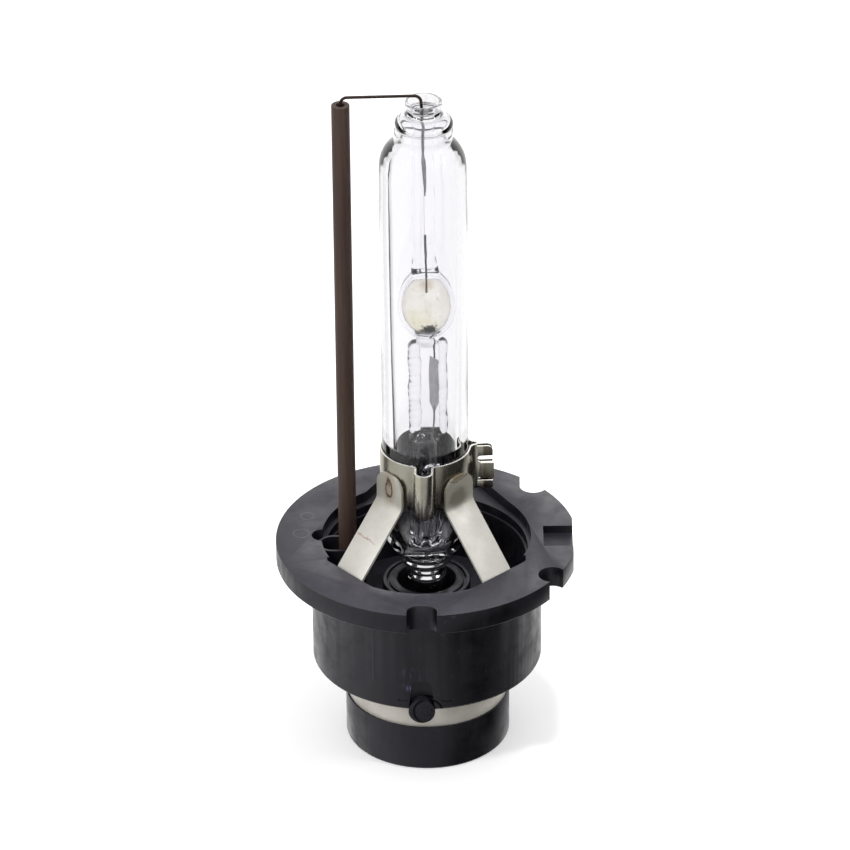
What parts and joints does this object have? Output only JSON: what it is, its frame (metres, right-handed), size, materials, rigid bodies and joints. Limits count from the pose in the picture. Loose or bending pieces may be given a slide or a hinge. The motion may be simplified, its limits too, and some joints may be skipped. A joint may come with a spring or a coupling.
{
  "type": "gas-discharge headlight bulb",
  "caption": "Gas-discharge headlight bulb: quartz burner in a clear outer bulb, spring collar on sheet legs, notched black base, round connector and a ceramic-sleeved return wire.",
  "frame": {"origin": "on the lamp axis in the plane of the flange's front face, the bulb's reference plane", "axes": "+Z along the lamp axis to the tip, -Y to the front notch, -X to the ceramic tube"},
  "size_m": [0.0316, 0.032, 0.0763],
  "materials": {
    "base_plastic": "moulded black plastic, satin",
    "bush_plastic": "moulded black plastic",
    "silicone": "potting silicone",
    "ring_metal": "nickel-plated sheet",
    "collar_steel": "stainless sheet, satin",
    "leg_steel": "stainless strip, satin",
    "pin_brass": "nickel-plated brass",
    "solder": "soft solder",
    "clear_glass": "clear doped quartz",
    "quartz": "clear quartz",
    "salt": "cream salts",
    "molybdenum": "dull grey metal",
    "tungsten": "dull grey metal",
    "wire_dark": "heat-oxidised wire",
    "ceramic_brown": "matt brown ceramic"
  },
  "bodies": {
    "root": {"base_housing": "base_plastic", "stem_bush": "bush_plastic", "connector_socket": "base_plastic", "contact_ring": "ring_metal", "centre_contact": "pin_brass", "pin_solder": "solder", "potting_compound": "silicone", "clamp_collar": "collar_steel", "leg_front_left": "leg_steel", "leg_front_right": "leg_steel", "leg_rear": "leg_steel", "outer_bulb": "clear_glass", "arc_tube": "quartz", "halide_salts": "salt", "lower_electrode": "tungsten", "upper_electrode": "tungsten", "lower_foil": "molybdenum", "upper_foil": "molybdenum", "lower_lead": "molybdenum", "upper_lead": "molybdenum", "return_wire": "wire_dark", "ceramic_tube": "ceramic_brown"}
  },
  "joints": []
}
